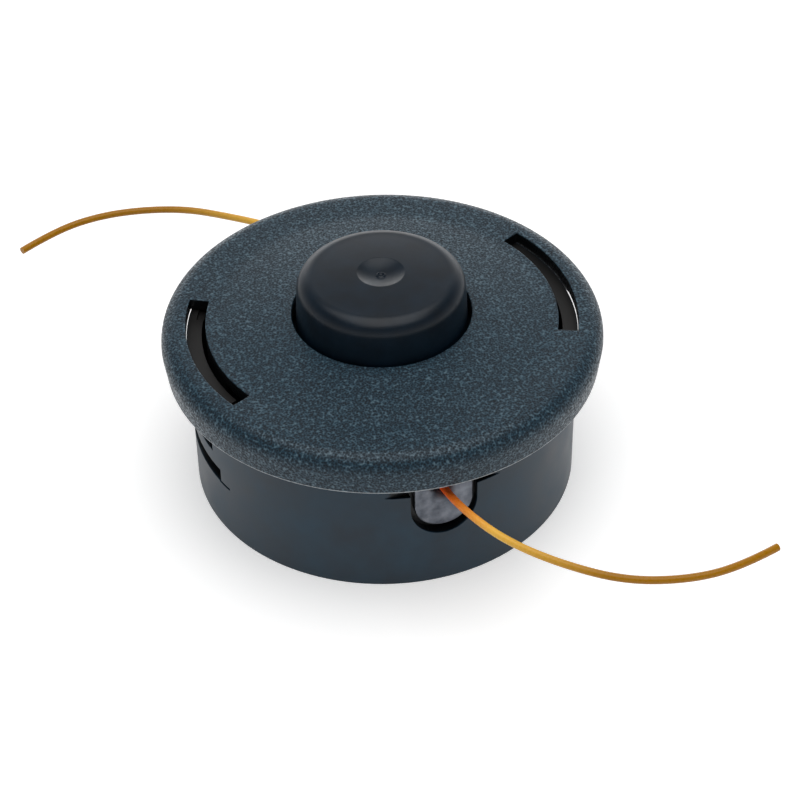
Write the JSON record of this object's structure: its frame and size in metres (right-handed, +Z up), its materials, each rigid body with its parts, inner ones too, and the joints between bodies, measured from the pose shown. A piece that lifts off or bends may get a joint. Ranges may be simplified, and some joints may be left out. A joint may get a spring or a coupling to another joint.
{
  "type": "trimmer head",
  "caption": "Round bump-feed trimmer head: a cup with a latched cap, a sprung spool whose knob feeds cutting line when tapped, and line ends leaving through metal eyelets.",
  "frame": {"origin": "centre of the mounting face, under the middle of the head", "axes": "+Z up along the spool's axis, from the mounting face to the knob; the line leaves at -Y and +Y, and the cap's latches are at -X and +X"},
  "size_m": [0.1822, 0.234, 0.0735],
  "materials": {
    "housing_nylon": "satin moulded black nylon",
    "cap_nylon": "fine spark-eroded grain on black nylon",
    "spool_nylon": "smooth black nylon with a soft gloss",
    "cast_zinc": "dull grey die-cast zinc",
    "steel": "plain bright steel",
    "line_nylon": "clear orange monofilament"
  },
  "bodies": {
    "housing": {"housing": "housing_nylon", "cap": "cap_nylon", "threaded_insert": "steel", "eyelet_front": "cast_zinc", "eyelet_rear": "cast_zinc", "spring": "steel", "line_end_front": "line_nylon", "line_end_rear": "line_nylon"},
    "spring_plate": {"spring_plate": "steel"},
    "spool": {"spool": "spool_nylon", "line_winding": "line_nylon"}
  },
  "joints": [
    {"name": "spool_press", "type": "slide", "parent": "housing", "child": "spring_plate", "axis": [0, 0, -1], "range_m": [0, 0.008], "stiffness_N_per_m": 3000, "springref_m": -0.006, "deforming": ["spring"]},
    {"name": "spool_turn", "type": "hinge", "parent": "spring_plate", "child": "spool", "pos_m": [0, 0, 0], "axis": [0, 0, 1], "range_deg": [-18.5, 0]}
  ]
}
